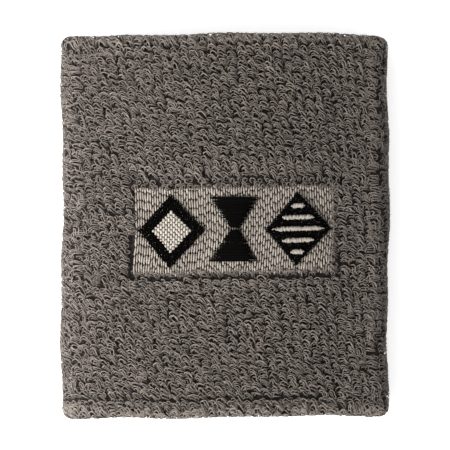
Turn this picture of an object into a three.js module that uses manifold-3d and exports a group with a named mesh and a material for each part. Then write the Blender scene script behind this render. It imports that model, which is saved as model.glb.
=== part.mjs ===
// A sweat wristband for racket sports: a knitted terry tube turned back on itself, so that the wrist
// passes through a double wall, with an embroidered patch on its front.
//
// Millimetres. The band lies flat on its back: X across it, Y along the wrist, +Z up through the patch.
// The origin is the middle of the flat back. An "inset" is a depth measured inwards from the tips of
// the outer pile, so each layer of the wall is a range of insets that runs all the way round.

import * as THREE from "three";
import { LoftGeometry } from "three/addons/geometries/LoftGeometry.js";
import { mergeVertices } from "three/addons/utils/BufferGeometryUtils.js";
import Module from "manifold-3d";

const wasm = await Module();
wasm.setup();

// ---- Driving dimensions --------------------------------------------------------------------------

const bandWidth = 78; // across, lying flat
const bandLength = 90; // along the wrist, rim to rim
const bandThickness = 18.5; // back to crown, lying relaxed
const sideFoldRadius = 6.6; // of the pile tips where the tube turns at each side

const outerPile = 2.0; // thickness of the wall that shows
const innerPile = 2.0; // thickness of the wall against the skin
const upperRimLength = 2.6; // the plain turn of the tube
const lowerRimLength = 3.6; // the hem, which hides the closing seam
const rimCorner = 0.5; // chamfers of the groove beside each rim

const layerGap = 0.1; // between layers that lie on each other
const rimGap = 0.15; // between the walls' ends and a rim
const yarnGap = 0.2; // round the elastic yarn and the seam thread

const patchWidth = 47;
const patchHeight = 20.6;
const patchCorner = 1.2;
const patchCentreX = 2.0;
const patchCentreY = -1.0;
const pressedPile = 0.6; // what is left of the outer pile under the embroidery
const pocketClearance = 0.4;
const groundStitch = 0.5; // thickness of the beige fill
const motifStitch = 0.5; // thickness of the black and cream fills
const barStitch = 0.4; // thickness of the satin bars on top
const backingSheet = 0.3;
const backingMargin = 2.5; // how far the stabiliser reaches past the patch
const bobbinThread = 0.2;

const motifSideMargin = 0.7; // from a diamond's point to the patch's side
const motifSpacing = 1.2; // between a diamond's point and the triangles
const diamondMargin = 1.6; // above and below a diamond
const frameStroke = 2.3; // of the left diamond, square to its sides
const fieldGap = 0.15; // between the frame and the field inside it
const triangleWidth = 11.6;
const triangleWaist = 2.4; // the width where the two triangles meet
const triangleGap = 0.4;
const triangleMargin = 2.7; // above and below the pair of triangles
const barCount = 5;
const barEndRoom = 3.3; // from an outermost bar's middle to the diamond's upper or lower point
const barWidth = 1.1;
const barTaper = 0.35; // share of each half of a bar that narrows to its point
const barMargin = 0.9; // from a bar's tip to the side of the diamond

const elasticDiameter = 0.5;
const elasticTurns = 12;
const elasticEndRoom = 4.5; // from an outermost turn to the end of the walls
const seamThreadDiameter = 0.4;
const seamEndRoom = 2.2; // from the closing seam to the hem's end of the walls
const seamPitch = 4; // one zigzag of the closing seam
const seamReach = 1.4; // how far a zigzag runs along the band
const seamOpening = 1.5; // between the seam thread's two ends

const foldFacets = 5; // in each half of a side fold
const crownFacets = 12;
const rimFacets = 8;
const cornerFacets = 3; // half as many as the facets in each rounded corner of the patch
const yarnSides = 5;

// ---- Layers of the wall --------------------------------------------------------------------------

const outerWall = { from: 0, to: outerPile };
const backing = below(outerWall, layerGap, backingSheet);
const bobbin = below(backing, layerGap, bobbinThread);
const elastic = below(bobbin, yarnGap, elasticDiameter);
const innerWall = below(elastic, yarnGap, innerPile);
const wallThickness = innerWall.to;

const pocketDepth = outerPile - pressedPile;
const pocket = { from: -pocketDepth, to: pocketDepth };
const ground = above(pocket.to, layerGap, groundStitch);
const motif = above(ground.from, layerGap, motifStitch);
const bar = above(motif.from, layerGap, barStitch);

const upperEnd = bandLength / 2 - upperRimLength; // where the walls stop and the rims begin
const lowerEnd = -bandLength / 2 + lowerRimLength;

function below(layer, gap, thickness) {
  return { from: layer.to + gap, to: layer.to + gap + thickness };
}

function above(floor, gap, thickness) {
  return { from: floor - gap - thickness, to: floor - gap };
}

// ---- Section of the flattened tube ---------------------------------------------------------------

// A flat back, a round fold at each side, and a shallow crown that is tangent to both folds.
const foldCentreX = bandWidth / 2 - sideFoldRadius;
const crownRise = bandThickness - 2 * sideFoldRadius;
const crownRadius =
  (foldCentreX ** 2 + (bandThickness - sideFoldRadius) ** 2 - sideFoldRadius ** 2) /
  (2 * crownRise);
const crownCentreZ = bandThickness - crownRadius;
const crownLean = Math.asin(foldCentreX / (crownRadius - sideFoldRadius));
const quarter = Math.PI / 2;
const crownStart = quarter - crownLean; // angles where the crown meets the folds
const crownEnd = quarter + crownLean;

// A place on the outside of the section, with the direction that faces away from the wall.
class Station {
  constructor(centreX, centreZ, radius, angle) {
    this.outward = new THREE.Vector3(Math.cos(angle), 0, Math.sin(angle));
    this.place = new THREE.Vector3(centreX, 0, centreZ).addScaledVector(this.outward, radius);
  }
  at(inset, y) {
    const point = this.place.clone().addScaledVector(this.outward, -inset);
    return point.setY(y);
  }
}

function arcStations(centreX, centreZ, radius, start, end, facets) {
  const turn = (end - start) / facets;
  return Array.from({ length: facets + 1 }, (_, i) => {
    return new Station(centreX, centreZ, radius, start + turn * i);
  });
}

function joined(...arcs) {
  return arcs.flatMap((arc, i) => (i ? arc.slice(1) : arc));
}

// Anticlockwise as seen from the lower rim, starting where the flat back meets the right fold.
const fold = [sideFoldRadius, sideFoldRadius];
const rightLower = arcStations(foldCentreX, ...fold, -quarter, 0, foldFacets);
const rightUpper = arcStations(foldCentreX, ...fold, 0, crownStart, foldFacets);
const crown = arcStations(0, crownCentreZ, crownRadius, crownStart, crownEnd, crownFacets);
const leftUpper = arcStations(-foldCentreX, ...fold, crownEnd, 2 * quarter, foldFacets);
const leftLower = arcStations(-foldCentreX, ...fold, 2 * quarter, 3 * quarter, foldFacets);
const round = joined(rightLower, rightUpper, crown, leftUpper, leftLower);

// A solid that runs all the way round the band. The profile is a closed outline of [inset, y].
function ringSolid(profile) {
  const rings = [...profile, profile[0]].map(([inset, y]) => round.map((s) => s.at(inset, y)));
  return new LoftGeometry(rings.reverse());
}

// ---- Booleans ------------------------------------------------------------------------------------

function solidOf(geometry) {
  const bare = new THREE.BufferGeometry();
  bare.setAttribute("position", geometry.attributes.position);
  bare.setIndex(geometry.index);
  const merged = mergeVertices(bare, 1e-4);
  const vertProperties = new Float32Array(merged.attributes.position.array);
  const triVerts = new Uint32Array(merged.index.array);
  return new wasm.Manifold(new wasm.Mesh({ numProp: 3, vertProperties, triVerts }));
}

function geometryOf(solid) {
  const mesh = solid.getMesh();
  const geometry = new THREE.BufferGeometry();
  geometry.setAttribute("position", new THREE.BufferAttribute(mesh.vertProperties, 3));
  geometry.setIndex(new THREE.BufferAttribute(mesh.triVerts, 1));
  geometry.computeVertexNormals();
  return geometry;
}

// ---- Terry walls and rims ------------------------------------------------------------------------

// The outer wall is chamfered at both ends, so that a groove runs round beside each rim.
function outerWallProfile() {
  return [
    [outerWall.from, lowerEnd + rimCorner],
    [outerWall.from, upperEnd - rimCorner],
    [outerWall.from + rimCorner, upperEnd],
    [outerWall.to, upperEnd],
    [outerWall.to, lowerEnd],
    [outerWall.from + rimCorner, lowerEnd],
  ];
}

function plainProfile(layer) {
  return [
    [layer.from, lowerEnd],
    [layer.from, upperEnd],
    [layer.to, upperEnd],
    [layer.to, lowerEnd],
  ];
}

// A rim turns from the outer wall over to the inner one. side is 1 for the upper rim, -1 for the lower.
function rimProfile(side, wallEnd) {
  const base = Math.abs(wallEnd) + rimGap;
  const height = bandLength / 2 - base - rimCorner;
  const profile = [[rimCorner, side * base]];
  for (let i = 0; i <= rimFacets; i++) {
    const turn = (Math.PI * i) / rimFacets;
    const inset = (wallThickness / 2) * (1 - Math.cos(turn));
    profile.push([inset, side * (base + rimCorner + height * Math.sin(turn))]);
  }
  profile.push([wallThickness, side * base]);
  return side > 0 ? profile : profile.reverse();
}

// ---- Patch ---------------------------------------------------------------------------------------

function onPatch(x, y) {
  return new THREE.Vector2(patchCentreX + x, patchCentreY + y);
}

function polygonOnPatch(corners) {
  return new THREE.Shape(corners.map(([x, y]) => onPatch(x, y)));
}

// The patch's own rounded rectangle, grown by a margin on every side.
function patchOutline(margin) {
  const halfWidth = patchWidth / 2 + margin;
  const halfHeight = patchHeight / 2 + margin;
  const corner = patchCorner + margin;
  const outline = new THREE.Shape();
  const corners = [[1, -1], [1, 1], [-1, 1], [-1, -1]];
  corners.forEach(([sideX, sideY], i) => {
    const centre = onPatch(sideX * (halfWidth - corner), sideY * (halfHeight - corner));
    const start = quarter * (i - 1);
    outline.absarc(centre.x, centre.y, corner, start, start + quarter);
  });
  return outline;
}

// A flat outline on the patch, pressed down through the front of one layer of the wall.
function stitched(outline, layer) {
  const depth = bandThickness;
  const settings = { depth, bevelEnabled: false, curveSegments: cornerFacets };
  const column = new THREE.ExtrudeGeometry(outline, settings).translate(0, 0, depth / 2);
  return solidOf(column).intersect(solidOf(ringSolid(plainProfile(layer))));
}

// The three motifs share the patch's width, and each keeps its own margin above and below.
const diamondWidth =
  (patchWidth - triangleWidth) / 2 - motifSideMargin - motifSpacing;
const diamondHeight = patchHeight - 2 * diamondMargin;
const motifPitch = (triangleWidth + diamondWidth) / 2 + motifSpacing;
const triangleHeight = (patchHeight - triangleGap) / 2 - triangleMargin;
const barPitch = (diamondHeight - 2 * barEndRoom) / (barCount - 1);

// Corners of a diamond whose four sides are moved in by a distance, about a centre on the patch.
function diamondCorners(centreX, movedIn) {
  const halfWidth = diamondWidth / 2;
  const halfHeight = diamondHeight / 2;
  const share = 1 - (movedIn * Math.hypot(halfWidth, halfHeight)) / (halfWidth * halfHeight);
  return [
    [centreX + halfWidth * share, 0],
    [centreX, halfHeight * share],
    [centreX - halfWidth * share, 0],
    [centreX, -halfHeight * share],
  ];
}

function diamondFrame() {
  const frame = polygonOnPatch(diamondCorners(-motifPitch, 0));
  frame.holes.push(polygonOnPatch(diamondCorners(-motifPitch, frameStroke)));
  return frame;
}

// One half of the hourglass: side is 1 for the upper triangle and -1 for the lower.
function triangle(side) {
  const near = (side * triangleGap) / 2;
  const far = near + side * triangleHeight;
  return polygonOnPatch([
    [-triangleWidth / 2, far],
    [triangleWidth / 2, far],
    [triangleWaist / 2, near],
    [-triangleWaist / 2, near],
  ]);
}

// A satin bar across the right diamond, pointed at both ends and cut to the diamond's width there.
function satinBar(index) {
  const y = barPitch * (index - (barCount - 1) / 2);
  const widest = Math.abs(y) + barWidth / 2;
  const reach = (diamondWidth / 2) * (1 - (2 * widest) / diamondHeight) - barMargin;
  const shoulder = reach * (1 - barTaper);
  const x = motifPitch;
  return polygonOnPatch([
    [x + reach, y],
    [x + shoulder, y + barWidth / 2],
    [x - shoulder, y + barWidth / 2],
    [x - reach, y],
    [x - shoulder, y - barWidth / 2],
    [x + shoulder, y - barWidth / 2],
  ]);
}

// ---- Yarns between the walls ---------------------------------------------------------------------

// A thread through a row of places, each with the outward direction of the wall there.
function thread(places, diameter) {
  const sections = places.map(({ point, outward }) => {
    return Array.from({ length: yarnSides }, (_, i) => {
      const angle = (2 * Math.PI * i) / yarnSides;
      const side = point.clone().addScaledVector(outward, (diameter / 2) * Math.cos(angle));
      return side.setY(point.y + (diameter / 2) * Math.sin(angle));
    });
  });
  return new LoftGeometry(sections, { capStart: true, capEnd: true });
}

// Once round the band between the walls, closed.
function loopBetweenWalls() {
  const inset = (elastic.from + elastic.to) / 2;
  const corners = round.map((s) => s.at(inset, 0));
  const loop = new THREE.CurvePath();
  corners.forEach((corner, i) => {
    loop.add(new THREE.LineCurve3(corner, corners[(i + 1) % corners.length]));
  });
  return loop;
}

// The covered elastic is laid into the knit in one long spiral.
function elasticYarn() {
  const loop = loopBetweenWalls();
  const travelled = [0, ...loop.getCurveLengths()];
  const start = lowerEnd + elasticEndRoom;
  const rise = (upperEnd - lowerEnd - 2 * elasticEndRoom) / elasticTurns;
  const inset = (elastic.from + elastic.to) / 2;
  const places = [];
  for (let turn = 0; turn < elasticTurns; turn++) {
    round.forEach((station, i) => {
      const y = start + rise * (turn + travelled[i] / loop.getLength());
      places.push({ point: station.at(inset, y), outward: station.outward });
    });
  }
  return thread(places, elasticDiameter);
}

// The seam that joins the tube's two raw ends zigzags round between the walls, beside the hem.
function closingSeam() {
  const loop = loopBetweenWalls();
  const length = loop.getLength();
  const steps = 4 * Math.round(length / seamPitch);
  const places = [];
  for (let i = 0; i <= steps; i++) {
    const share = (seamOpening / 2 + ((length - seamOpening) * i) / steps) / length;
    const along = loop.getTangent(share);
    const swing = Math.sin(quarter * i);
    const point = loop.getPoint(share).setY(lowerEnd + seamEndRoom + (seamReach / 2) * swing);
    places.push({ point, outward: new THREE.Vector3(along.z, 0, -along.x) });
  }
  return thread(places, seamThreadDiameter);
}

// ---- Materials -----------------------------------------------------------------------------------

function cloth(colour, roughness) {
  return new THREE.MeshStandardMaterial({ color: colour, roughness, metalness: 0 });
}

const terry = cloth(0x8a7f76, 1.0);
const terryInside = cloth(0x80766e, 1.0);
const beigeThread = cloth(0xb5aa9b, 0.6);
const creamThread = cloth(0xd0c8b8, 0.5);
const blackThread = cloth(0x15140f, 0.5);
const whiteThread = cloth(0xe6e4de, 0.7);
const nonwoven = cloth(0xeeeeea, 0.9);

// ---- Assembly ------------------------------------------------------------------------------------

const wristband = new THREE.Group();

function add(name, geometry, material) {
  const mesh = new THREE.Mesh(geometry, material);
  mesh.name = name;
  wristband.add(mesh);
}

function addStitched(name, outline, layer, material) {
  add(name, geometryOf(stitched(outline, layer)), material);
}

const pressedIn = stitched(patchOutline(pocketClearance), pocket);
const outerSleeve = solidOf(ringSolid(outerWallProfile())).subtract(pressedIn);

add("outer_terry_wall", geometryOf(outerSleeve), terry);
add("inner_terry_wall", ringSolid(plainProfile(innerWall)), terryInside);
add("upper_turned_rim", ringSolid(rimProfile(1, upperEnd)), terry);
add("lower_hem_rim", ringSolid(rimProfile(-1, lowerEnd)), terry);
add("elastic_yarn", elasticYarn(), whiteThread);
add("closing_seam_thread", closingSeam(), terryInside);

addStitched("embroidery_backing", patchOutline(backingMargin), backing, nonwoven);
addStitched("bobbin_thread", patchOutline(0), bobbin, whiteThread);
addStitched("patch_ground_stitching", patchOutline(0), ground, beigeThread);
addStitched("left_diamond_frame", diamondFrame(), motif, blackThread);
const field = polygonOnPatch(diamondCorners(-motifPitch, frameStroke + fieldGap));
addStitched("left_diamond_field", field, motif, creamThread);
addStitched("centre_triangle_upper", triangle(1), motif, blackThread);
addStitched("centre_triangle_lower", triangle(-1), motif, blackThread);
const plainDiamond = polygonOnPatch(diamondCorners(motifPitch, 0));
addStitched("right_diamond_fill", plainDiamond, motif, blackThread);
for (let index = 0; index < barCount; index++) {
  addStitched(`right_satin_bar_${index + 1}`, satinBar(index), bar, creamThread);
}

export default wristband;
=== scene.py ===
import math
from collections import namedtuple

import bmesh
import bpy
import numpy as np
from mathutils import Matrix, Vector


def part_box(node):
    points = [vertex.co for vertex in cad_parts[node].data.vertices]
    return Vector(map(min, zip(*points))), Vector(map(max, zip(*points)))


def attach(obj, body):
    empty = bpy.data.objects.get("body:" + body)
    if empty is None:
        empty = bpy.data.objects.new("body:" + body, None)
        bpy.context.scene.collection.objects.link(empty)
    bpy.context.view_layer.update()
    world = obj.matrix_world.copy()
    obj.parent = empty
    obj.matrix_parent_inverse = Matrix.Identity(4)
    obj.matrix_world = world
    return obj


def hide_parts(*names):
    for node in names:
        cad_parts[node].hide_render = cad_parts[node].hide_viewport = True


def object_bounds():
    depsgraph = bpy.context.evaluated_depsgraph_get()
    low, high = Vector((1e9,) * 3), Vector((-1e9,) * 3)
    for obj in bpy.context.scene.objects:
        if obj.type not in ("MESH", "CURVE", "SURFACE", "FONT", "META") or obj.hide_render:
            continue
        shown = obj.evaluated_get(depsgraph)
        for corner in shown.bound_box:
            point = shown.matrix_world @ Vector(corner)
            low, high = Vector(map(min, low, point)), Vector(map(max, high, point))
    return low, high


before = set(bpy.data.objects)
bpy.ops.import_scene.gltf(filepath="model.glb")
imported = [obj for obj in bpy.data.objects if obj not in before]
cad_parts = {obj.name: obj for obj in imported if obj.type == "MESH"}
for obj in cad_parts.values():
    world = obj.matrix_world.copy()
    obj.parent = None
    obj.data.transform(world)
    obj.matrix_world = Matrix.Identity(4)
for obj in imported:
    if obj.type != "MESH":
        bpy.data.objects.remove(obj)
cad_low, cad_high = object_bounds()

MM = 0.001
TURN = 2 * math.pi

# ---- Sizes of the sleeve ---------------------------------------------------------------------------

SLEEVE_WIDTH, SLEEVE_LENGTH, SLEEVE_THICKNESS = cad_high - cad_low
FOLD_RADIUS = 6.6 * MM  # of the pile tips at each side fold
INNER_PILE = 2.0 * MM  # the inner wall's thickness, ground and pile together
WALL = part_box("inner_terry_wall")[0].z + INNER_PILE  # outer pile tips to inner pile tips

PILE_HEIGHT = 1.5 * MM  # from the knitted ground up to the loops' tips
GROUND_THICKNESS = 0.45 * MM
MID_WALL = WALL / 2
RIM_RADIUS = MID_WALL - PILE_HEIGHT  # of the ground where it turns over a rim
STRAIGHT_HALF = SLEEVE_LENGTH / 2 - PILE_HEIGHT - RIM_RADIUS  # of the ground between the rims

FOLD_PUFF = 0.9 * MM  # how far the ground stands out at the side folds, where the tube is bent sharply
RIM_PUFF = 1.15 * MM  # and over the rims
FOLD_ZONE_START = SLEEVE_WIDTH / 2 - 13 * MM  # from here out, the nearness of a side fold begins to tell
FOLD_ZONE_WIDTH = 8 * MM
FLAT_BACK_REACH = 2 * MM  # height above the flat back over which the folds' puff sets in
BACK_SHOWS = 1.5 * MM  # below the front, at the hem's left end
WELD = 1e-4 * MM  # points nearer each other than this are one

WALES = 72  # loops in one course, all the way round
COURSE_PITCH = 1.31 * MM
WALE_LEAN = 0.10  # how far a wale drifts sideways for each step along the sleeve

# ---- The sleeve's surface --------------------------------------------------------------------------


class Section:
    """The flattened tube across the wrist: a flat back, a round fold at each side, a shallow crown."""

    fold_x = SLEEVE_WIDTH / 2 - FOLD_RADIUS
    rise = SLEEVE_THICKNESS - 2 * FOLD_RADIUS
    crown_radius = (fold_x**2 + (SLEEVE_THICKNESS - FOLD_RADIUS) ** 2 - FOLD_RADIUS**2) / (2 * rise)
    crown_z = SLEEVE_THICKNESS - crown_radius
    lean = math.asin(fold_x / (crown_radius - FOLD_RADIUS))

    back_length = fold_x
    fold_length = (math.pi - lean) * (FOLD_RADIUS - MID_WALL)
    crown_length = 2 * lean * (crown_radius - MID_WALL)
    girth = 2 * back_length + 2 * fold_length + crown_length

    @classmethod
    def at(cls, share, inset):
        """X and Z at a share of the girth, from the middle of the back anticlockwise, at an inset."""
        gone = np.mod(share, 1.0) * cls.girth
        ends = np.cumsum([cls.back_length, cls.fold_length, cls.crown_length, cls.fold_length])
        parts = [gone < end for end in ends]
        fold_mid = FOLD_RADIUS - MID_WALL
        crown_mid = cls.crown_radius - MID_WALL
        down = -math.pi / 2
        angle = np.select(
            parts,
            [
                np.full_like(gone, down),
                down + (gone - ends[0]) / fold_mid,
                math.pi / 2 - cls.lean + (gone - ends[1]) / crown_mid,
                math.pi / 2 + cls.lean + (gone - ends[2]) / fold_mid,
            ],
            default=down,
        )
        centre_x = np.select(parts, [gone, cls.fold_x, 0.0, -cls.fold_x], default=gone - cls.girth)
        centre_z = np.select(parts, [FOLD_RADIUS, FOLD_RADIUS, cls.crown_z, FOLD_RADIUS], FOLD_RADIUS)
        radius = np.select(parts, [FOLD_RADIUS, FOLD_RADIUS, cls.crown_radius, FOLD_RADIUS], FOLD_RADIUS)
        return (
            centre_x + (radius - inset) * np.cos(angle),
            centre_z + (radius - inset) * np.sin(angle),
        )


RIM_TURN = math.pi * RIM_RADIUS  # length of the ground over one rim
ROUND_TRIP = 4 * STRAIGHT_HALF + 2 * RIM_TURN  # up the outer wall, over, down the inner one, under


def towards_fold(x):
    """0 over the middle of the sleeve, rising to 1 at its side folds."""
    return np.clip((np.abs(x) - FOLD_ZONE_START) / FOLD_ZONE_WIDTH, 0, 1)


def neat_sleeve(share, along, height):
    """Points on a sleeve without a crease. along starts at the middle of the outer wall and runs up to
    the turned rim, over it, down the inner wall and under the hem. height is measured out of the
    knitted ground."""
    gone = np.mod(along + STRAIGHT_HALF, ROUND_TRIP)
    outer_end = 2 * STRAIGHT_HALF
    inner_start = outer_end + RIM_TURN
    inner_end = inner_start + 2 * STRAIGHT_HALF
    parts = [gone < outer_end, gone < inner_start, gone < inner_end]
    turn = np.select(
        parts,
        [0.0, (gone - outer_end) / RIM_RADIUS, math.pi],
        default=math.pi + (gone - inner_end) / RIM_RADIUS,
    )
    y = np.select(
        parts,
        [gone - STRAIGHT_HALF, STRAIGHT_HALF, STRAIGHT_HALF - (gone - inner_start)],
        default=-STRAIGHT_HALF,
    )
    mid_x, mid_z = Section.at(share, MID_WALL)
    off_back = np.clip((mid_z - MID_WALL) / FLAT_BACK_REACH, 0, 1)
    fold_puff = FOLD_PUFF * towards_fold(mid_x) * off_back * np.maximum(np.cos(turn), 0)
    reach = RIM_RADIUS + (fold_puff + RIM_PUFF * np.abs(np.sin(turn))) + height
    on_rim = np.logical_or(np.logical_and(gone >= outer_end, gone < inner_start), gone >= inner_end)
    y = y + np.where(on_rim, reach * np.sin(turn), 0.0)
    x, z = Section.at(share, MID_WALL - reach * np.cos(turn))
    return np.stack([x, y, z], axis=-1)


def relaxed(points):
    """The small wander of a soft sleeve that lies as it was put down: slow waves, a few tenths of a
    millimetre high. The back shows a little below the front at the hem's left end."""
    x, y, z = (points[..., i] / MM for i in range(3))
    up = z / (SLEEVE_THICKNESS / MM)
    across = 0.30 * np.sin(0.10 * y + 0.8) + 0.16 * np.sin(0.31 * y + 2.2 * up)
    lengthways = 0.30 * np.sin(0.085 * x + 0.3) + 0.15 * np.sin(0.27 * x + 1.9 * up)
    lifted = 0.30 * np.sin(0.11 * x + 0.09 * y) * up
    left_hem = np.clip((-x - 22) / 12, 0, 1) * np.clip((-y - 30) / 14, 0, 1)
    under = np.clip(1 - 1.3 * up, 0, 1)
    lengthways = lengthways - 0.15 - BACK_SHOWS / MM * under * left_hem
    return points + np.stack([across, lengthways, lifted], axis=-1) * MM


def sleeve_surface(share, along, height):
    return relaxed(neat_sleeve(share, along, height))


def front_surface(x, y, height):
    """Points on the front, straight above or below a place on the crown."""
    reach = Section.crown_radius - PILE_HEIGHT + height
    z = Section.crown_z + np.sqrt(reach**2 - x**2)
    return relaxed(np.stack([x, y, z], axis=-1))


# ---- Yarn ------------------------------------------------------------------------------------------

YARN_MAP = "Yarn"  # along the yarn and round it
BAKE_MAP = "OFBake"  # a square cell for each copy
TUBE_LEFT, TUBE_WIDTH = 0.06, 0.86  # of a tube's side, in its cell
TUBE_LOW, TUBE_TALL = 0.05, 0.90
CAP_EDGE, CAP_WIDE, CAP_TALL = 0.02, 0.30, 0.015  # of its two end caps, flat along the cell's edges
NEXT_FIBRES = 3.7  # how far on the next copy's yarn is, so that no two have the same fibres
SEAM_WELD = 1e-3  # share of a tube's radius within which its two long edges are one


def smooth_path(points, steps):
    """Evenly timed points on a Catmull-Rom curve through the given ones."""
    points = np.asarray(points, float)
    padded = np.vstack([2 * points[0] - points[1], points, 2 * points[-1] - points[-2]])
    path = []
    for share in np.linspace(0, len(points) - 1, steps + 1):
        i = min(int(share), len(points) - 2)
        t = share - i
        a, b, c, d = padded[i : i + 4]
        square, cube = 2 * a - 5 * b + 4 * c - d, 3 * b - a - 3 * c + d
        path.append(0.5 * (2 * b + (c - a) * t + square * t**2 + cube * t**3))
    return np.array(path)


def across_path(path):
    """At each point of a path, its place and two directions across it that don't twist along it."""
    tangents = np.gradient(path, axis=0)
    side = Vector((0, 0, 1)).cross(Vector(tangents[0])).normalized()
    frames = []
    for place, tangent in zip(path, tangents):
        tangent = Vector(tangent).normalized()
        side = (side - tangent * side.dot(tangent)).normalized()
        frames.append((Vector(place), side.copy(), tangent.cross(side)))
    return frames


def add_yarn(bm, path, radii, sides):
    """Rolls a grid into a tube along a path, closes its ends and lays out its maps."""
    yarn_map, bake_map = bm.loops.layers.uv[YARN_MAP], bm.loops.layers.uv[BAKE_MAP]
    steps = len(path) - 1
    lengths = np.concatenate([[0], np.cumsum(np.linalg.norm(np.diff(path, axis=0), axis=1))])
    frames = across_path(path)
    grid = bmesh.ops.create_grid(bm, x_segments=steps, y_segments=sides, size=0.5)["verts"]
    places = {}
    for v in grid:
        step, turn = round((v.co.x + 0.5) * steps), v.co.y + 0.5
        places[v] = (step, turn)
        centre, across, up = frames[step]
        outward = across * math.cos(TURN * turn) + up * math.sin(TURN * turn)
        v.co = centre + float(radii[step]) * outward
    for face in bm.faces:
        for loop in face.loops:
            step, turn = places[loop.vert]
            loop[yarn_map].uv = (lengths[step] / MM, turn)
            loop[bake_map].uv = (TUBE_LEFT + TUBE_WIDTH * turn, TUBE_LOW + TUBE_TALL * step / steps)
    bmesh.ops.remove_doubles(bm, verts=grid, dist=SEAM_WELD * float(min(radii)))
    open_edges = [e for e in bm.edges if e.is_boundary]
    for cap in bmesh.ops.holes_fill(bm, edges=open_edges, sides=sides)["faces"]:
        middle = cap.calc_center_median()
        at_start = (middle - frames[0][0]).length < (middle - frames[-1][0]).length
        edge = CAP_EDGE if at_start else 1 - CAP_EDGE
        for i, loop in enumerate(cap.loops):
            turn = i / len(cap.loops)
            loop[yarn_map].uv = (0.0, turn)
            loop[bake_map].uv = (
                0.5 + CAP_WIDE * math.cos(TURN * turn),
                edge + CAP_TALL * math.sin(TURN * turn),
            )


class Shape:
    """A small closed mesh as arrays, ready to be copied."""

    def __init__(self, build):
        bm = bmesh.new()
        bm.loops.layers.uv.new(YARN_MAP)
        bm.loops.layers.uv.new(BAKE_MAP)
        build(bm)
        bmesh.ops.recalc_face_normals(bm, faces=bm.faces)
        bm.verts.index_update()
        yarn_map, bake_map = bm.loops.layers.uv[YARN_MAP], bm.loops.layers.uv[BAKE_MAP]
        self.points = np.array([v.co for v in bm.verts])
        self.corners = np.array([loop.vert.index for f in bm.faces for loop in f.loops])
        self.sizes = np.array([len(f.verts) for f in bm.faces])
        self.yarn = np.array([loop[yarn_map].uv for f in bm.faces for loop in f.loops])
        self.bake = np.array([loop[bake_map].uv for f in bm.faces for loop in f.loops])
        bm.free()


class Places:
    """Where copies go: each one's shape, 3x4 frame and tone, as arrays."""

    def __init__(self, shape, frames, tone):
        self.shape, self.frames, self.tone = shape, frames, tone

    def __len__(self):
        return len(self.shape)

    def only(self, chosen):
        return Places(self.shape[chosen], self.frames[chosen], self.tone[chosen])


def joined(shapes, places, yarn_scale):
    """Every copy's points, corners, face sizes, two maps, tones and depths, in an array each."""
    columns = math.ceil(math.sqrt(len(places)))
    first_point = first_copy = 0
    batches = []
    for index, shape in enumerate(shapes):
        mine = places.only(places.shape == index)
        count = len(mine)
        number = np.arange(first_copy, first_copy + count)
        starts = first_point + len(shape.points) * np.arange(count)
        placed = np.einsum("kab,nb->kna", mine.frames[:, :, :3], shape.points)
        further = np.stack([NEXT_FIBRES * number, 0 * number], axis=-1)[:, None]
        cell = np.stack([number % columns, number // columns], axis=-1)[:, None]
        batches.append(
            (
                (placed + mine.frames[:, None, :, 3]).reshape(-1, 3),
                (shape.corners + starts[:, None]).ravel(),
                np.tile(shape.sizes, count),
                (shape.yarn * (yarn_scale, 1) + further).reshape(-1, 2),
                ((shape.bake + cell) / columns).reshape(-1, 2),
                np.repeat(mine.tone, len(shape.points)),
                # each point's height in the pile, which the yarn's painted depth shading reads
                np.tile(shape.points[:, 2] / PILE_HEIGHT, count),
            )
        )
        first_point += len(shape.points) * count
        first_copy += count
    return [np.concatenate(arrays) for arrays in zip(*batches)]


def copied(name, shapes, places, surface, material, yarn_scale=1.0):
    """One object that holds a shape at each place, bent to a surface."""
    points, corners, sizes, yarn, bake, tones, depths = joined(shapes, places, yarn_scale)
    mesh = bpy.data.meshes.new(name)
    mesh.vertices.add(len(points))
    mesh.vertices.foreach_set("co", surface(*points.T).ravel())
    mesh.loops.add(len(corners))
    mesh.loops.foreach_set("vertex_index", corners)
    mesh.polygons.add(len(sizes))
    mesh.polygons.foreach_set("loop_start", np.cumsum(sizes) - sizes)
    mesh.polygons.foreach_set("loop_total", sizes)
    mesh.polygons.foreach_set("use_smooth", np.ones(len(sizes), bool))
    for map_name, values in ((YARN_MAP, yarn), (BAKE_MAP, bake)):
        mesh.uv_layers.new(name=map_name).data.foreach_set("uv", values.ravel())
    for attribute, values in (("tone", tones), ("depth", depths)):
        mesh.attributes.new(attribute, "FLOAT", "POINT").data.foreach_set("value", values)
    mesh.update(calc_edges=True)
    mesh.uv_layers[YARN_MAP].active_render = True
    return finished(name, mesh, material)


def finished(name, mesh, material):
    """Makes a mesh a piece of the band that rides on its one body."""
    mesh.materials.append(material)
    piece = bpy.data.objects.new(name, mesh)
    bpy.context.collection.objects.link(piece)
    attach(piece, "root")
    return piece


# ---- Materials -------------------------------------------------------------------------------------


def feed(tree, value, socket):
    """Links an output to a socket, or sets the socket to a plain value."""
    if isinstance(value, bpy.types.NodeSocket):
        tree.links.new(value, socket)
    else:
        socket.default_value = value


def maths(tree, operation, *values):
    node = tree.nodes.new("ShaderNodeMath")
    node.operation = operation
    for value, socket in zip(values, node.inputs):
        feed(tree, value, socket)
    return node.outputs[0]


def times(tree, a, b):
    return maths(tree, "MULTIPLY", a, b)


def total(tree, first, *others):
    for other in others:
        first = maths(tree, "ADD", first, other)
    return first


FROM_COLOUR, TO_COLOUR, MIXED_COLOUR = 6, 7, 2  # sockets of a Mix node that blends colours


def blended(tree, factor, start, end):
    """A colour that turns into another as the factor goes from 0 to 1."""
    mix = tree.nodes.new("ShaderNodeMix")
    mix.data_type = "RGBA"
    tree.links.new(factor, mix.inputs["Factor"])
    feed(tree, start, mix.inputs[FROM_COLOUR])
    feed(tree, end, mix.inputs[TO_COLOUR])
    return mix.outputs[MIXED_COLOUR]


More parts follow.
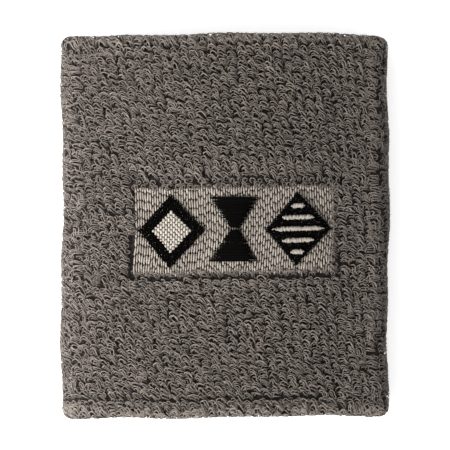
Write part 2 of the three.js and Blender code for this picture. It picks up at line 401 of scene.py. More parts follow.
def colour_ramp(tree, factor, colours):
    """Blends three colours as the factor goes from 0 to 1."""
    doubled = times(tree, factor, 2.0)
    below = colours[0]
    for step, colour in enumerate(colours[1:]):
        part = maths(tree, "SUBTRACT", doubled, float(step))
        share = maths(tree, "MINIMUM", maths(tree, "MAXIMUM", part, 0.0), 1.0)
        below = blended(tree, share, below, colour)
    return below


def noise(tree, place, scale):
    node = tree.nodes.new("ShaderNodeTexNoise")
    node.inputs["Scale"].default_value = scale
    tree.links.new(place, node.inputs["Vector"])
    return node.outputs["Fac"]


def map_axes(tree, name):
    """A map's own place, and its two axes one by one."""
    uv = tree.nodes.new("ShaderNodeUVMap")
    uv.uv_map = name
    split = tree.nodes.new("ShaderNodeSeparateXYZ")
    tree.links.new(uv.outputs[0], split.inputs[0])
    return uv.outputs[0], split.outputs[0], split.outputs[1]


def attribute(tree, name):
    node = tree.nodes.new("ShaderNodeAttribute")
    node.attribute_name = name
    return node.outputs["Fac"]


def new_material(name, roughness, specular=0.5):
    """A material, its node tree and its shader."""
    material = bpy.data.materials.new(name)
    material.use_nodes = True
    shader = material.node_tree.nodes["Principled BSDF"]
    shader.inputs["Roughness"].default_value = roughness
    shader.inputs["Specular IOR Level"].default_value = specular
    return material, material.node_tree, shader


def raise_surface(tree, shader, height, relief):
    bump = tree.nodes.new("ShaderNodeBump")
    bump.inputs["Distance"].default_value = relief
    tree.links.new(height, bump.inputs["Height"])
    tree.links.new(bump.outputs["Normal"], shader.inputs["Normal"])


def group_socket(group, name, kind, direction, default=None):
    socket = group.interface.new_socket(name=name, in_out=direction, socket_type="NodeSocket" + kind)
    if default is not None:
        socket.default_value = default


SHADES = ("Dark", "Body", "Light")  # the three colours that a yarn's own goes through
FIBRES_ALONG, FIBRES_ROUND, FIBRE_SCALE = 1.3, 9.0, 3.0  # fibres are long along the yarn and fine
# PLY_CONTRAST paints shade: the colour is darker in the grooves between the plies, where the bump sinks,
# and lighter on their crests
FIBRE_CONTRAST, PLY_CONTRAST = 0.5, 0.2
PAINTED_SHADING_PIVOT = 0.75  # share of the pile's height at which the painted depth shading neither lightens nor darkens: painted shade below it, painted light above


def twisted_yarn_group():
    """Plies twisted round each other, fine fibres along them, each copy's own tone, and painted depth
    shading: painted shade darkens the yarn deep in the pile, painted light lightens it near the tips."""
    tree = bpy.data.node_groups.new("twisted_yarn", "ShaderNodeTree")
    for name, default in (("Plies", 2.0), ("Twist", 1.0), ("Painted depth shading", 0.5)):
        group_socket(tree, name, "Float", "INPUT", default)
    for name in SHADES:
        group_socket(tree, name, "Color", "INPUT", (0.5, 0.5, 0.5, 1))
    group_socket(tree, "Colour", "Color", "OUTPUT")
    group_socket(tree, "Height", "Float", "OUTPUT")
    given = tree.nodes.new("NodeGroupInput")
    result = tree.nodes.new("NodeGroupOutput")
    _, along, around = map_axes(tree, YARN_MAP)

    spiral = total(tree, times(tree, along, given.outputs["Twist"]), around)
    phase = times(tree, times(tree, spiral, given.outputs["Plies"]), TURN)
    ply = total(tree, times(tree, maths(tree, "SINE", phase), 0.5), 0.5)

    stretched = tree.nodes.new("ShaderNodeCombineXYZ")
    tree.links.new(times(tree, along, FIBRES_ALONG), stretched.inputs[0])
    tree.links.new(times(tree, spiral, FIBRES_ROUND), stretched.inputs[1])
    fibre = noise(tree, stretched.outputs[0], FIBRE_SCALE)

    # painted depth shading: below the pivot the colour is darkened as painted shade, above it lightened
    # as painted light
    raised = maths(tree, "SUBTRACT", attribute(tree, "depth"), PAINTED_SHADING_PIVOT)
    lightness = total(
        tree,
        times(tree, fibre, FIBRE_CONTRAST),
        attribute(tree, "tone"),
        times(tree, ply, PLY_CONTRAST),
        times(tree, raised, given.outputs["Painted depth shading"]),
    )
    colours = [given.outputs[name] for name in SHADES]
    tree.links.new(colour_ramp(tree, lightness, colours), result.inputs["Colour"])
    tree.links.new(total(tree, ply, fibre), result.inputs["Height"])
    return tree


TWISTED_YARN = twisted_yarn_group()


def yarn_material(name, colours, roughness, sheen, specular, plies, twist, relief, painted_depth_shading=0.0):
    material, tree, shader = new_material(name, roughness, specular)
    shader.inputs["Sheen Weight"].default_value = sheen
    yarn = tree.nodes.new("ShaderNodeGroup")
    yarn.node_tree = TWISTED_YARN
    yarn.inputs["Plies"].default_value = plies
    yarn.inputs["Twist"].default_value = twist
    yarn.inputs["Painted depth shading"].default_value = painted_depth_shading
    for shade, colour in zip(SHADES, colours):
        yarn.inputs[shade].default_value = (*colour, 1)
    tree.links.new(yarn.outputs["Colour"], shader.inputs["Base Color"])
    raise_surface(tree, shader, yarn.outputs["Height"], relief)
    return material


def terry_yarn(name, *colours):
    # the pile's yarn gets painted depth shading: painted shade deep in the pile, painted light at the
    # loops' tips
    return yarn_material(name, colours, roughness=0.95, sheen=0.1, specular=0.2,
                         plies=2, twist=1.1, relief=0.05 * MM, painted_depth_shading=1.5)


def embroidery_thread(name, *colours, specular=0.3):
    return yarn_material(name, colours, roughness=0.55, sheen=0.0, specular=specular,
                         plies=3, twist=1.6, relief=0.03 * MM)


TERRY = terry_yarn(
    "terry_pile_yarn", (0.030, 0.025, 0.021), (0.135, 0.113, 0.096), (0.240, 0.204, 0.176)
)
TERRY_INSIDE = terry_yarn(
    "terry_inside_yarn", (0.020, 0.0165, 0.014), (0.122, 0.102, 0.087), (0.225, 0.191, 0.166)
)
BEIGE_THREAD = embroidery_thread(
    "beige_thread", (0.11, 0.093, 0.078), (0.30, 0.262, 0.224), (0.47, 0.418, 0.362)
)
CREAM_THREAD = embroidery_thread(
    "cream_thread", (0.19, 0.165, 0.137), (0.29, 0.261, 0.224), (0.39, 0.355, 0.312)
)
BLACK_THREAD = embroidery_thread(
    "black_thread", (0.0008, 0.0007, 0.0006), (0.0016, 0.0014, 0.0013), (0.004, 0.0036, 0.0033),
    specular=0.01,
)

LEG_RISE = 1.4  # courses that a V stitch's legs rise in a wale's width
GROUND_NOISE_SCALE, GROUND_NOISE = 2.3, 0.3


def knit_ground_material():
    """The plain knit that the loops stand in: rows of small V stitches, painted dark as painted shade,
    far darker than the loops' yarn, because little light gets down to them; darker still in each
    stitch's dips."""
    material, tree, shader = new_material("knit_ground", roughness=1.0, specular=0.1)
    place, round_tube, along = map_axes(tree, "Knit")
    wale = maths(tree, "PINGPONG", round_tube, 0.5)
    row = total(tree, along, times(tree, wale, LEG_RISE))
    stitch = maths(tree, "PINGPONG", row, 0.5)
    height = total(tree, stitch, times(tree, noise(tree, place, GROUND_NOISE_SCALE), GROUND_NOISE))
    # painted shade: near-black colours for yarn as brown as the loops', following the bump's height
    colours = [(0.008, 0.0066, 0.0055, 1), (0.018, 0.015, 0.0127, 1), (0.032, 0.0268, 0.0228, 1)]
    tree.links.new(colour_ramp(tree, height, colours), shader.inputs["Base Color"])
    raise_surface(tree, shader, height, 0.2 * MM)
    return material


# ---- Knitted ground --------------------------------------------------------------------------------

GROUND_STEPS_ROUND = 3 * WALES
GROUND_STEPS_ALONG = 120


def knit_ground():
    """The knitted tube that carries all the loops, turned back on itself: one closed sheet."""
    bm = bmesh.new()
    knit = bm.loops.layers.uv.new("Knit")
    grid = bmesh.ops.create_grid(
        bm, x_segments=GROUND_STEPS_ROUND, y_segments=GROUND_STEPS_ALONG, size=0.5
    )["verts"]
    flat = np.array([v.co for v in grid])
    for face in bm.faces:
        for loop in face.loops:
            x, y, _ = loop.vert.co
            loop[knit].uv = ((x + 0.5) * WALES, (y + 0.5) * ROUND_TRIP / COURSE_PITCH)
    placed = sleeve_surface(flat[:, 0] + 0.5, flat[:, 1] * ROUND_TRIP, np.zeros(len(flat)))
    for v, point in zip(grid, placed):
        v.co = point
    bmesh.ops.remove_doubles(bm, verts=bm.verts, dist=WELD)
    bmesh.ops.recalc_face_normals(bm, faces=bm.faces)
    bmesh.ops.solidify(bm, geom=bm.faces[:], thickness=GROUND_THICKNESS)
    for face in bm.faces:
        face.smooth = True
    mesh = bpy.data.meshes.new("knit_ground")
    bm.to_mesh(mesh)
    bm.free()
    return finished("knit_ground", mesh, knit_ground_material())


# ---- Terry pile ------------------------------------------------------------------------------------

STRAND_RADIUS = 0.118 * MM
STRAND_SIDES = 3
STRAND_VERSIONS = 12
STRAND_WANDER = 0.14 * MM  # how far each strand strays from its loop
OUTER_BANDS, INNER_BANDS = 6, 3  # pieces that a wall's pile is made in
RIM_LOOPS = {"pitch": 0.62 * MM, "length": 0.75, "height": 0.5}  # small and close
RING_PITCH = 1.55 * MM
RING_RADII = (0.72, 0.46)  # in millimetres, as all sizes of a loop's strands are
RING_STEPS = 7
LOOP_TONE, TONE_SPREAD = 0.16, 0.03  # added to a yarn's lightness, which runs from 0 to 1

PATCH_LOW, PATCH_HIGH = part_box("patch_ground_stitching")
UPPER_PARTING = PATCH_HIGH.y + 2.3 * MM  # the dark partings in the pile above and below the patch
LOWER_PARTING = PATCH_LOW.y - 1.65 * MM
PATCH_LEFT_GAP = 1.0 * MM  # from the patch's sides to the roots of the usual loops, which reach right
PATCH_RIGHT_GAP = 0.5 * MM
HEM_PARTING = -SLEEVE_LENGTH / 2 + 4.2 * MM
TURNED_PARTING = SLEEVE_LENGTH / 2 - 2.4 * MM
FOLD_PARTING = SLEEVE_WIDTH / 2 - 2.4 * MM  # down the right-hand fold
RIM_PARTING_REACH = 1.6 * MM  # how far from a parting loops still move away from it
FOLD_PARTING_GAP, FOLD_PARTING_REACH = 1.5 * MM, 1.2 * MM
PATCH_PARTING_RAGGED, PATCH_PARTING_REACH = 0.45 * MM, 2.4 * MM
PATCH_SIDE_FADE = 2 * MM  # beside the patch, where its partings die out
ABOVE_PATCH_EXTRA, ABOVE_PATCH_REACH = 0.6, 1.2 * MM  # loops are longer just above the patch
BELOW_PATCH_LEAN, BELOW_PATCH_REACH = 0.5, 1.5 * MM  # and hang down just below it
TURN_SPREAD, FOLD_TURN_SPREAD = 0.28, 0.25  # of loops everywhere, and how much more at the folds
FOLD_FLATTENING = 0.45  # share of their height that loops lose at the folds
SHARP_FOLD = Section.fold_x + 3.2 * MM  # loops beyond this are narrower, and twice as many
SHARP_FOLD_WIDTH = 0.6


def arch(rng, out, loose):
    """One strand of a loop, out by a share from the loop's middle strand. It leans up the sleeve, and
    its right leg runs down long and high before it dives."""
    path = np.array(
        [
            (-0.50 - 0.3 * out, -0.30, -0.20),
            (-0.60 - 0.5 * out, 0.10 + 0.3 * out, 0.90),
            (-0.40 - 0.5 * out, 0.48 + 0.8 * out, 1.25),
            (0.00 + 0.1 * out, 0.56 + 1.0 * out, 1.32),
            (0.48 + 0.4 * out, 0.20 + 0.9 * out, 1.28),
            (1.15 + 0.4 * out, -0.38 + 0.8 * out, 1.12),
            (1.50 + 0.3 * out, -0.80 + 0.5 * out, -0.20),
        ]
    )
    path[:, :2] += rng.normal(0, 0.08, 2)
    path[1:-1] += rng.normal(0, loose, (len(path) - 2, 3)) * (1, 1, 0.7)
    path[1:-1, 2] -= rng.uniform(0, 0.25)
    return path


def slack_strand(rng, loose):
    """A small strand that fills the room between loops, lower than they are and turned any way."""
    middle = (rng.uniform(0.7, 1.5), rng.uniform(0.0, 1.0), 0.0)
    return curl(rng, middle, (0.42, 0.55), 0.15, rng.normal(-0.5, 0.8), loose)


def open_ring(rng, radius):
    """A strand that lies open in an almost full ring."""
    return curl(rng, (0.0, 0.1, 0.1), (radius, radius), 0.35, rng.normal(0, 0.5), 0.06)


def curl(rng, middle, radii, beyond, turn, loose):
    """Half a ring and a share beyond it at either end, with both feet in the ground."""
    angle = math.pi * np.linspace(-beyond, 1 + beyond, 5)
    across, up = -radii[0] * np.cos(angle), radii[1] * np.sin(angle)
    ring = np.stack(
        [
            across * math.cos(turn) - up * math.sin(turn),
            across * math.sin(turn) + up * math.cos(turn),
            rng.uniform(0.85, 1.20) - 0.25 * (1 - np.sin(np.clip(angle, 0, math.pi))),
        ],
        axis=-1,
    )
    ring += rng.normal(0, loose, ring.shape) * (1, 1, 0.5)
    feet = ring[[0, -1]] * (0.8, 0.8, 0) - (0, 0, 0.2)
    return middle + np.vstack([feet[0], ring, feet[1]])


def strand_shape(path, steps):
    def build(bm):
        points = smooth_path(path, steps) * MM
        points[:, 2] = np.minimum(points[:, 2], PILE_HEIGHT - STRAND_RADIUS)
        add_yarn(bm, points, [STRAND_RADIUS] * len(points), STRAND_SIDES)

    return Shape(build)


def loop_strands(rng, arches, curls, steps, loose):
    """The strands of a terry loop, in several versions each: arches, one inside the next, and curls of
    slack yarn beside them."""
    shapes = []
    for number in range(arches):
        out = 0.45 * (number - (arches - 1) / 2)
        shapes += [strand_shape(arch(rng, out, loose), steps) for _ in range(STRAND_VERSIONS)]
    for _ in range(curls * STRAND_VERSIONS):
        shapes.append(strand_shape(slack_strand(rng, loose), steps))
    return shapes


def loop_places(rng, shapes, share, along, size, turn, lean=(0.0, 0.0)):
    """Frames that make x a share of the girth, the other way round, and keep y and z as lengths. Each
    loop takes one version of every strand."""
    loops, strands = len(share), len(shapes) // STRAND_VERSIONS
    width, length, height = size
    cos, sin = np.cos(turn), np.sin(turn)
    frames = np.zeros((loops, 3, 4))
    frames[:, 0, 0] = -cos * width / Section.girth
    frames[:, 0, 1] = sin * length / Section.girth
    frames[:, 1, 0] = sin * width
    frames[:, 1, 1] = cos * length
    frames[:, 0, 2] = -lean[0] / Section.girth
    frames[:, 1, 2] = lean[1]
    frames[:, 2, 2] = height
    frames[:, 0, 3] = share
    frames[:, 1, 3] = along
    first = STRAND_VERSIONS * np.arange(strands)[:, None]
    version = (first + rng.integers(0, STRAND_VERSIONS, (strands, loops))).ravel()
    tone = np.tile(rng.normal(LOOP_TONE, TONE_SPREAD, loops), strands)
    frames = np.tile(frames, (strands, 1, 1))
    frames[:, 0, 3] += rng.normal(0, STRAND_WANDER, len(frames)) / Section.girth
    frames[:, 1, 3] += rng.normal(0, STRAND_WANDER, len(frames))
    return Places(version, frames, tone)


def lattice(rng, along_from, along_to, pitch, loose):
    """Where the loops of a stretch of the tube are rooted, in shares of the girth and lengths along.
    Courses and wales wander a little, and each loop is off its place by a loose share of a pitch."""
    courses = round(abs(along_to - along_from) / pitch)
    course, wale = (part.ravel() for part in np.mgrid[0:courses, 0:WALES])
    along = along_from + (course + 0.5) * (along_to - along_from) / courses
    drift = WALE_LEAN * along * WALES / Section.girth
    wander = 0.06 * np.sin(0.9 * wale + 0.31 * course) * np.sin(0.23 * course - 0.2 * wale)
    share = (wale + 0.5 + drift + 0.5 * wander + rng.normal(0, loose, len(wale))) / WALES
    along = along + (wander * 0.6 + rng.normal(0, loose * 1.3, len(wale))) * COURSE_PITCH
    return share, along


def lines(low, high, pitch):
    """Evenly spaced places between two ends, half a space in from either."""
    count = max(1, round((high - low) / pitch))
    return low + (np.arange(count) + 0.5) * (high - low) / count


def parted(distance, gap, reach):
    """How far a loop moves away from a parting, from its signed distance to it."""
    return np.sign(distance) * gap / 2 * np.exp(-np.abs(distance) / reach)


def fading(past, reach):
    """1 just past a line and less and less beyond it, but 0 short of it."""
    return (past > 0) * np.exp(-np.clip(past, 0, None) / reach)


def loop_sizes(rng, count):
    """Width, length and height of each loop, as shares of the usual ones; a few stand out."""
    proud = np.where(rng.random(count) < 0.02, 1.12, 1.0)
    width = rng.uniform(0.84, 1.02, count) * proud
    length = rng.uniform(0.84, 1.0, count) * proud
    height = rng.uniform(0.94, 1.06, count) * proud
    return width, length, height


def patch_parting_shift(rng, y, beside_patch):
    """Moves loops along the sleeve, so that the course nearest each of the patch's partings ends at it
    with a ragged edge."""
    shift = np.zeros_like(y)
    for parting, side in ((UPPER_PARTING, 1), (LOWER_PARTING, -1)):
        past = side * (y - parting) + COURSE_PITCH / 2
        nearest = np.median(past[np.logical_and(past > 0, past < COURSE_PITCH)])
        ragged = COURSE_PITCH / 2 - nearest + rng.uniform(0, PATCH_PARTING_RAGGED, len(y))
        shift += beside_patch * side * ragged * fading(past, PATCH_PARTING_REACH)
    return shift


def outer_loops(rng, shapes):
    """The loops all over the outer wall, except where the patch is."""
    share, along = lattice(rng, -STRAIGHT_HALF, STRAIGHT_HALF, COURSE_PITCH, loose=0.07)
    x, y, z = neat_sleeve(share, along, np.zeros_like(share)).T
    front = z > SLEEVE_THICKNESS / 2
    sides = towards_fold(x)
    from_patch = np.maximum(PATCH_LOW.x - x, x - PATCH_HIGH.x)
    beside_patch = front * np.clip(1 - from_patch / PATCH_SIDE_FADE, 0, 1)
    width, length, height = loop_sizes(rng, len(y))
    length += ABOVE_PATCH_EXTRA * beside_patch * fading(y - UPPER_PARTING, ABOVE_PATCH_REACH)
    height *= 1 - FOLD_FLATTENING * sides

    shift = patch_parting_shift(rng, y, beside_patch)
    for parting, narrow, wide in ((HEM_PARTING, 0.4, 1.5), (TURNED_PARTING, 0.5, 1.6)):
        shift += parted(y - parting, rng.uniform(narrow, wide, len(y)) * MM, RIM_PARTING_REACH)
    y = y + shift
    aside = front * parted(x - FOLD_PARTING, FOLD_PARTING_GAP, FOLD_PARTING_REACH)
    share = share - aside / Section.girth
    turn = rng.normal(0, TURN_SPREAD + FOLD_TURN_SPREAD * sides)
    lean = -BELOW_PATCH_LEAN * beside_patch * fading(LOWER_PARTING - y, BELOW_PATCH_REACH)

    past_end = np.maximum(LOWER_PARTING - y, y - UPPER_PARTING) + COURSE_PITCH / 3
    past_side = np.maximum(PATCH_LOW.x - PATCH_LEFT_GAP - x, x - PATCH_HIGH.x - PATCH_RIGHT_GAP)
    kept = np.flatnonzero(np.logical_or(~front, np.maximum(past_side, past_end) > 0))
    sharp = np.abs(x) > SHARP_FOLD
    width = width * np.where(sharp, SHARP_FOLD_WIDTH, 1.0)
    share = share - np.where(sharp, 0.25 / WALES, 0)  # so that each one and its double share its room
    doubled = kept[sharp[kept]]
    all_loops = np.concatenate([kept, doubled])
    share, along, width, length, height, turn, lean = np.stack(
        [share, along + shift, width, length, height, turn, lean]
    )[:, all_loops]
    share = share + np.repeat([0.0, 0.5 / WALES], [len(kept), len(doubled)])
    return loop_places(rng, shapes, share, along, (width, length, height), turn, (0.0, lean))


def crown_share(x):
    """The share of the girth at a place on the front."""
    angle = np.arccos(x / (Section.crown_radius - PILE_HEIGHT))
    return 0.5 + (angle - math.pi / 2) * (Section.crown_radius - MID_WALL) / Section.girth


def patch_edge_loops(rng, shapes):
    """Small loops in a row below the patch, and a row that leans over its right side."""
    below = lines(PATCH_LOW.x, PATCH_HIGH.x, 1.25 * MM)
    beside = lines(PATCH_LOW.y, PATCH_HIGH.y, 1.3 * MM)
    rows = [len(below), len(beside)]
    gap = 0.2 * MM
    x = np.concatenate([below, np.full_like(beside, PATCH_HIGH.x + gap)])
    y = np.concatenate([np.full_like(below, PATCH_LOW.y - gap), beside])
    x, y = (values + rng.normal(0, 0.12 * MM, len(values)) for values in (x, y))
    sideways = np.repeat([0.0, -0.8], rows) + rng.normal(0, 0.15, len(x))
    lengthways = np.repeat([0.1, -0.3], rows) + rng.normal(0, 0.15, len(x))
    small = np.repeat([0.75, 0.9], rows)
    size = [small * part for part in loop_sizes(rng, len(x))]
    turn = rng.normal(0, 0.35, len(x))
    return loop_places(rng, shapes, crown_share(x), y, size, turn, (sideways, lengthways))


def patch_ring_places(rng, shapes):
    """Two rows of open rings along the patch's upper edge, the lower one a little over it."""
    over = lines(PATCH_LOW.x, PATCH_HIGH.x + 1 * MM, RING_PITCH)
    x = np.concatenate([over, over + 0.7 * MM])
    y = PATCH_HIGH.y + np.repeat([-0.1 * MM, 1.15 * MM], len(over))
    x, y = (values + rng.normal(0, 0.2 * MM, len(values)) for values in (x, y))
    size = [rng.uniform(0.8, 1.15, len(x)) for _ in range(2)] + [rng.uniform(0.95, 1.1, len(x))]
    return loop_places(rng, shapes, crown_share(x), y, size, rng.normal(0, 0.6, len(x)))


def stretch_loops(rng, shapes, along_from, along_to, pitch, length=1.0, height=1.0):
    """Loops all over a stretch of the tube, of a length and height given as shares of the usual ones."""
    share, along = lattice(rng, along_from, along_to, pitch, loose=0.10)
    sizes = loop_sizes(rng, len(share))
    sizes = (sizes[0], sizes[1] * length, sizes[2] * height)
    return loop_places(rng, shapes, share, along, sizes, rng.normal(0, 0.25, len(share)))


def in_bands(name, shapes, places, bands, material):
    """The same pile as several pieces, one for each band along the sleeve."""
    order = np.argsort(places.frames[:, 1, 3], kind="stable")
    return [
        copied(f"{name}_{number + 1}", shapes, places.only(part), sleeve_surface, material)
        for number, part in enumerate(np.array_split(order, bands))
    ]


def terry():
    """The pile of both walls, the rims and the patch's edges, as a list of pieces."""
    rng = np.random.default_rng(7)
    full = loop_strands(rng, arches=3, curls=2, steps=7, loose=0.10)
    plain = loop_strands(rng, arches=2, curls=0, steps=6, loose=0.12)

    def outside(name, shapes, places):
        return copied(name, shapes, places, sleeve_surface, TERRY)

    outer = in_bands("outer_pile", full, outer_loops(rng, full), OUTER_BANDS, TERRY)
    edge = outside("patch_edge_pile", full, patch_edge_loops(rng, full))
    radii = np.repeat(RING_RADII, STRAND_VERSIONS)
    rings = [strand_shape(open_ring(rng, radius), RING_STEPS) for radius in radii]
    above_patch = outside("patch_ring_pile", rings, patch_ring_places(rng, rings))
    rim_start, rim_end = STRAIGHT_HALF, STRAIGHT_HALF + RIM_TURN
    turned = outside("turned_rim_pile", full, stretch_loops(rng, full, rim_start, rim_end, **RIM_LOOPS))
    hem = outside("hem_rim_pile", full, stretch_loops(rng, full, -rim_end, -rim_start, **RIM_LOOPS))
    inner = stretch_loops(rng, plain, rim_end, rim_end + 2 * STRAIGHT_HALF, COURSE_PITCH)
    inner = in_bands("inner_pile", plain, inner, INNER_BANDS, TERRY_INSIDE)
    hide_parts("outer_terry_wall")
    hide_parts("upper_turned_rim")
    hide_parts("lower_hem_rim")
    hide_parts("inner_terry_wall")
    return [*outer, edge, above_patch, turned, hem, *inner]


# ---- Embroidery ------------------------------------------------------------------------------------

# How a fill is sewn: the pitch of its lines, its stitches' sizes, the height of their base above the
# knitted ground, their tone, whether they run across the sleeve, and how unevenly the lines end.
Stitching = namedtuple(
    "Stitching", "pitch length width thickness base tone across ragged", defaults=(False, 0.06 * MM)
)
WHOLE_RUN = 1.0  # longer than any run, so that one satin stitch spans it
GROUND_STITCHING = Stitching(
    pitch=0.58 * MM, length=2.1 * MM, width=0.44 * MM, thickness=0.42 * MM, base=0.22 * MM, tone=0.15,
    ragged=0.22 * MM,
)
FRAME_STITCHING = Stitching(
    pitch=0.42 * MM, length=1.8 * MM, width=0.44 * MM, thickness=0.36 * MM, base=0.85 * MM, tone=0.15
)
FIELD_STITCHING = Stitching(
    pitch=0.60 * MM, length=1.15 * MM, width=0.62 * MM, thickness=0.36 * MM, base=0.85 * MM, tone=0.2
)
TRIANGLE_STITCHING = Stitching(
    pitch=0.36 * MM, length=WHOLE_RUN, width=0.42 * MM, thickness=0.30 * MM, base=0.85 * MM, tone=0.15,
    across=True,
)
RIGHT_STITCHING = FRAME_STITCHING._replace(length=2.2 * MM, across=True)
BAR_STITCHING = Stitching(
    pitch=0.34 * MM, length=WHOLE_RUN, width=0.40 * MM, thickness=0.26 * MM, base=1.40 * MM, tone=0.2
)
STITCH_VERSIONS = 6
FLAT_ARCH, SATIN_ARCH = 0.15, 0.9  # rise at a stitch's middle, as a share of its thickness
STITCH_UNROLLED = 8  # widths that a stitch is long while it is shaped
STITCH_STRAY = 0.11 * MM  # how far a stitch slants, and how far it stands off the one below
STITCH_YARN_SCALE = 2 * MM  # brings the yarn map of a shape one unit long to a thread's size
SHORTEST_RUN = 0.15 * MM
SHORTEST_STITCH = 0.3  # share of the usual length
OFF_CORNER = 1e-4 * MM
TRIANGLE_WAIST = 2.4 * MM
BAR_TAPER = 0.35  # share of each half of a bar that narrows to its point


def stitch_shape(rng, arch, steps=6, sides=6):
    """A stitch one unit long, wide and thick: a thread that comes up, runs along y and dives again,
    thinner at its ends."""

    def build(bm):
        y = np.linspace(-0.5, 0.5, steps + 1)
        x = rng.normal(0, 0.05, len(y))
        z = arch * (1 - (2 * y) ** 2) - 0.8 * np.abs(2 * y) ** 6
        radii = 0.5 * (1 - 0.55 * np.abs(2 * y) ** 5)
        add_yarn(bm, np.stack([x, y * STITCH_UNROLLED, z], axis=-1), radii, sides)
        bmesh.ops.scale(bm, verts=bm.verts, vec=(1, 1 / STITCH_UNROLLED, 1))

    return Shape(build)


def stitch_places(rng, shapes, stitches, how):
    """stitches are (line, from, to): across the sleeve they run along x, otherwise along y."""
    line, start, end = np.array(stitches).T
    count = len(line)
    frames = np.zeros((count, 3, 4))
    side, run, facing = (1, 0, -1) if how.across else (0, 1, 1)
    frames[:, side, 0] = how.width * rng.uniform(0.88, 1.12, count) * facing
    frames[:, side, 1] = rng.normal(0, STITCH_STRAY, count)
    frames[:, run, 1] = end - start
    frames[:, 2, 2] = how.thickness
    frames[:, side, 3] = line
    frames[:, run, 3] = (start + end) / 2
    frames[:, 2, 3] = how.base + how.thickness / 2 + rng.uniform(0, STITCH_STRAY, count)
    return Places(rng.integers(0, len(shapes), count), frames, rng.normal(how.tone, 0.07, count))


def chord(corners, at, across):
    """Where a line through a convex outline enters and leaves it: a vertical line, or a level one."""
    crossings = []
    at += OFF_CORNER
    for (ax, ay), (bx, by) in zip(corners, corners[1:] + corners[:1]):
        if across:
            ax, ay, bx, by = ay, ax, by, bx
        if (ax - at) * (bx - at) < 0:
            crossings.append(ay + (by - ay) * (at - ax) / (bx - ax))
    return (min(crossings), max(crossings)) if len(crossings) == 2 else None


def cut_run(start, end, length, offset):
    """Cuts one run of a fill into stitches at even needle holes, with no very short one at its ends."""
    holes = np.arange(math.floor(start / length) - 1, math.ceil(end / length) + 2) * length + offset
    shortest = SHORTEST_STITCH * length
    marks = [start, *(hole for hole in holes if start + shortest < hole < end - shortest), end]
    return zip(marks, marks[1:])


def fill(rng, outline, how, offsets, hole=None):
    """Rows of stitches over a convex outline, less a convex hole in it."""
    values = [corner[1 if how.across else 0] for corner in outline]
    stitches = []
    for number, at in enumerate(lines(min(values), max(values), how.pitch)):
        run = chord(outline, at, how.across)
        if run is None:
            continue
        gap = chord(hole, at, how.across) if hole else None
        runs = [(run[0], gap[0]), (gap[1], run[1])] if gap else [run]
        offset = offsets(number) * how.length
        for start, end in runs:
            if end - start < SHORTEST_RUN:
                continue
            stray = rng.normal(0, how.ragged, 2)
            cuts = cut_run(start + stray[0], end + stray[1], how.length, offset)
            stitches += [(at, a, b) for a, b in cuts]
    return stitches


def staggered(*shares):
    """Where each row's needle holes start, as shares of a stitch that come round in turn."""
    return lambda number: shares[number % len(shares)]


def box_outline(node):
    low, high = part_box(node)
    return [(low.x, low.y), (high.x, low.y), (high.x, high.y), (low.x, high.y)]


def diamond_outline(node):
    low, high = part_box(node)
    middle = (low + high) / 2
    return [(high.x, middle.y), (middle.x, high.y), (low.x, middle.y), (middle.x, low.y)]


def triangle_outline(node, upwards):
    low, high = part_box(node)
    middle = (low.x + high.x) / 2
    near, far = (low.y, high.y) if upwards else (high.y, low.y)
    return [
        (low.x, far),
        (high.x, far),
        (middle + TRIANGLE_WAIST / 2, near),
        (middle - TRIANGLE_WAIST / 2, near),
    ]


def bar_outline(node):
    low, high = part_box(node)
    middle = (low + high) / 2
    shoulder = (high.x - middle.x) * (1 - BAR_TAPER)
    return [
        (high.x, middle.y),
        (middle.x + shoulder, high.y),
        (middle.x - shoulder, high.y),
        (low.x, middle.y),
        (middle.x - shoulder, low.y),
        (middle.x + shoulder, low.y),
    ]


def embroidery():
    rng = np.random.default_rng(21)
    flat = [stitch_shape(rng, FLAT_ARCH) for _ in range(STITCH_VERSIONS)]
    satin = [stitch_shape(rng, SATIN_ARCH) for _ in range(STITCH_VERSIONS)]

    def sew(name, node, shapes, outline, how, offsets, thread, hole=None):
        stitches = fill(rng, outline, how, offsets, hole)
        places = stitch_places(rng, shapes, stitches, how)
        piece = copied(name, shapes, places, front_surface, thread, STITCH_YARN_SCALE)
        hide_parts(node)

    sew("patch_ground_stitches", "patch_ground_stitching", flat, box_outline("patch_ground_stitching"),
        GROUND_STITCHING, lambda number: rng.uniform(0, 1), BEIGE_THREAD)

    field = diamond_outline("left_diamond_field")
    sew("left_diamond_frame_stitches", "left_diamond_frame", flat, diamond_outline("left_diamond_frame"),
        FRAME_STITCHING, staggered(0, 0.4, 0.8), BLACK_THREAD, hole=field)
    sew("left_diamond_field_stitches", "left_diamond_field", flat, field,
        FIELD_STITCHING, staggered(0, 0.5), CREAM_THREAD)

    for node, upwards in (("centre_triangle_upper", True), ("centre_triangle_lower", False)):
        sew(node + "_stitches", node, satin, triangle_outline(node, upwards),
            TRIANGLE_STITCHING, staggered(0), BLACK_THREAD)

    sew("right_diamond_stitches", "right_diamond_fill", flat, diamond_outline("right_diamond_fill"),
        RIGHT_STITCHING, staggered(0, 0.4, 0.8), BLACK_THREAD)
    for node in sorted(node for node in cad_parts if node.startswith("right_satin_bar")):
        sew(node + "_stitches", node, satin, bar_outline(node),
            BAR_STITCHING, staggered(0), CREAM_THREAD)


# ---- Parts that stay inside the wall ---------------------------------------------------------------


def hidden_fibre_material(name, dark, light, threads):
    """Fine parallel fibres with loose ones across them, for a node that keeps its own shape."""
    material, tree, shader = new_material(name, roughness=0.8)
    place = tree.nodes.new("ShaderNodeTexCoord").outputs["Object"]
    strands = tree.nodes.new("ShaderNodeTexWave")
    strands.inputs["Scale"].default_value = threads
    strands.inputs["Distortion"].default_value = 3.0
    tree.links.new(place, strands.inputs["Vector"])
    height = times(tree, strands.outputs["Fac"], noise(tree, place, 2.5 * threads))
    tree.links.new(blended(tree, height, (*dark, 1), (*light, 1)), shader.inputs["Base Color"])
    raise_surface(tree, shader, height, 0.1 * MM)
    return material


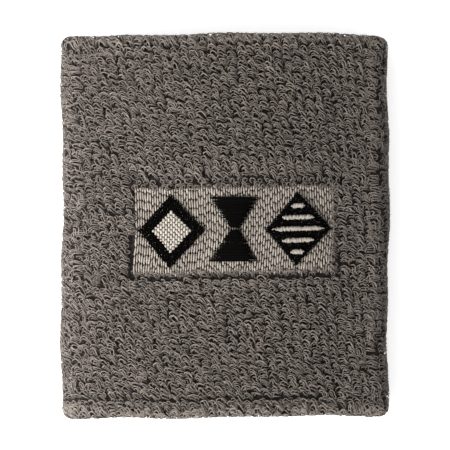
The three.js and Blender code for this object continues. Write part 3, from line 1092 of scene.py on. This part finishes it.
def inner_parts():
    fibres = {
        "elastic_yarn": ("covered_elastic", (0.10, 0.09, 0.08), (0.55, 0.52, 0.47), 900),
        "closing_seam_thread": ("seam_sewing_thread", (0.03, 0.025, 0.02), (0.16, 0.135, 0.115), 1500),
        "embroidery_backing": ("backing_fleece", (0.45, 0.44, 0.42), (0.85, 0.84, 0.81), 400),
        "bobbin_thread": ("bobbin_white", (0.40, 0.39, 0.37), (0.80, 0.79, 0.76), 1500),
    }
    for node, looks in fibres.items():
        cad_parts[node].material_slots[0].material = hidden_fibre_material(*looks)


# ---- Assembly --------------------------------------------------------------------------------------

knitted = knit_ground()
pile = terry()
embroidery()
inner_parts()

# ---- Floor, light and camera -----------------------------------------------------------------------

FIELD_WIDTH = 107.7 * MM  # seen across, at the height of the side folds
LENS, SENSOR = 180, 36
FLOOR_GLOW = 0.34  # a light table, so that shadows stay faint


def camera():
    data = bpy.data.cameras.new("camera")
    data.lens = LENS
    data.sensor_width = SENSOR
    data.clip_end = 10
    seen = bpy.data.objects.new("camera", data)
    seen.location = (0, 0, FOLD_RADIUS + FIELD_WIDTH * LENS / SENSOR)
    bpy.context.collection.objects.link(seen)
    bpy.context.scene.camera = seen


def area_light(name, place, size, power):
    """A round light that faces the middle of the sleeve."""
    data = bpy.data.lights.new(name, "AREA")
    data.shape = "DISK"
    data.size = size
    data.energy = power
    light = bpy.data.objects.new(name, data)
    light.location = place
    light.rotation_euler = (-Vector(place)).to_track_quat("-Z", "Y").to_euler()
    bpy.context.collection.objects.link(light)


def studio():
    bm = bmesh.new()
    bmesh.ops.create_grid(bm, x_segments=1, y_segments=1, size=1.5)
    mesh = bpy.data.meshes.new("floor")
    bm.to_mesh(mesh)
    bm.free()
    floor = bpy.data.objects.new("floor", mesh)
    bpy.context.collection.objects.link(floor)
    paper, _, shader = new_material("floor_paper", roughness=0.9)
    shader.inputs["Base Color"].default_value = (0.92, 0.92, 0.92, 1)
    shader.inputs["Emission Color"].default_value = (1, 1, 1, 1)
    shader.inputs["Emission Strength"].default_value = FLOOR_GLOW
    mesh.materials.append(paper)
    world = bpy.data.worlds.new("studio")
    world.use_nodes = True
    world.node_tree.nodes["Background"].inputs["Color"].default_value = (1, 1, 1, 1)
    world.node_tree.nodes["Background"].inputs["Strength"].default_value = 1.0
    bpy.context.scene.world = world
    area_light("key", place=(-0.36, -0.22, 0.31), size=0.20, power=6.3)
    area_light("low left", place=(-0.40, 0.0, 0.09), size=0.16, power=1.5)
    bpy.context.scene.view_settings.view_transform = "Standard"


camera()
studio()
